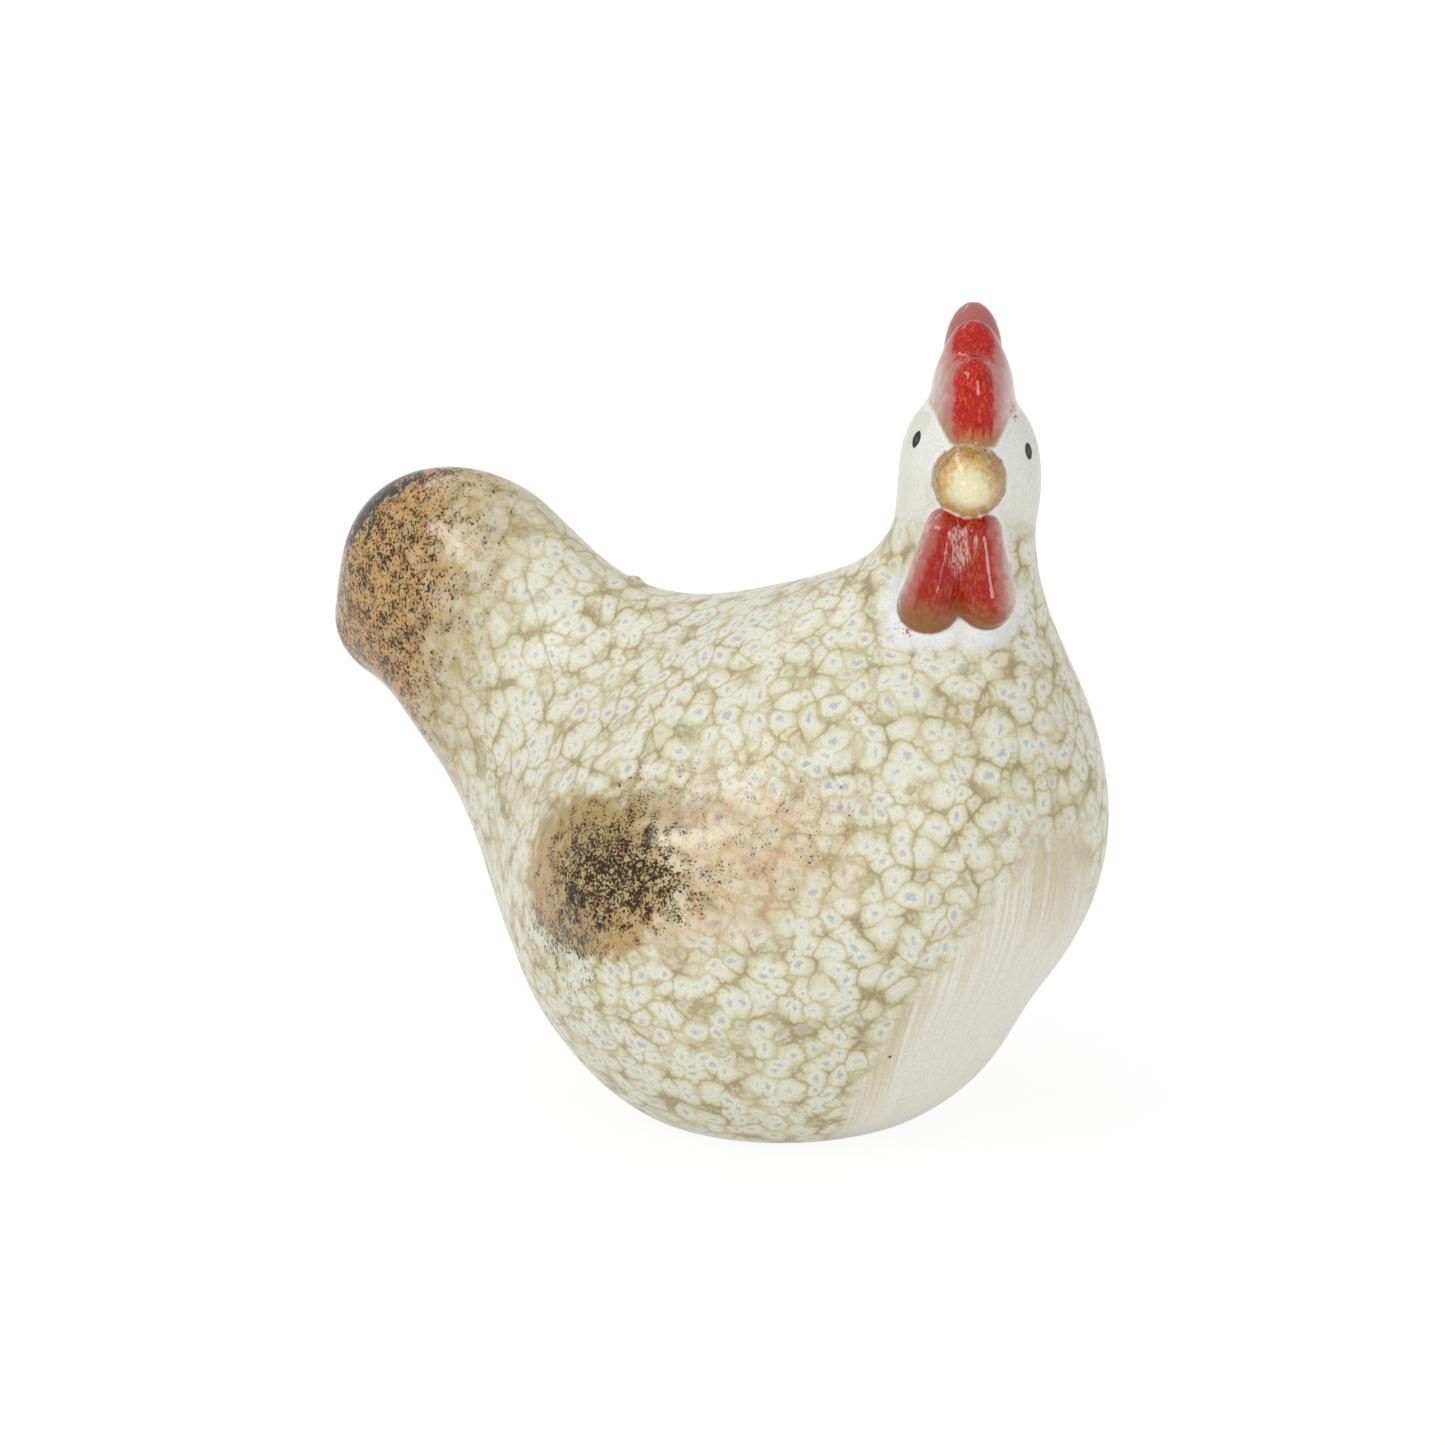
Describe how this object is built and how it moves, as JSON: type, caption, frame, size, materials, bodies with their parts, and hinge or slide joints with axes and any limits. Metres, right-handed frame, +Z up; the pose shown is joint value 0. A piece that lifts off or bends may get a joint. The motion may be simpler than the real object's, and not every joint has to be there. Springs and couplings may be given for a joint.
{
  "type": "hen figurine",
  "caption": "Plump hollow hen figurine cast in one piece of glazed earthenware, with comb, beak, wattles and upturned tail, standing on a flat foot.",
  "frame": {"origin": "middle of the flat foot, on the surface that the hen stands on", "axes": "+Z up, -Y towards the breast, +Y towards the tail, -X towards the hen's right side, to which the head is turned"},
  "size_m": [0.1208, 0.1782, 0.1731],
  "materials": {
    "glazed_earthenware": "satin off-white crawled glaze with a tan network, olive and ochre speckled tail and wings, gloss red comb and wattles, brushed cream bib"
  },
  "bodies": {
    "root": {"hen": "glazed_earthenware"}
  },
  "joints": []
}
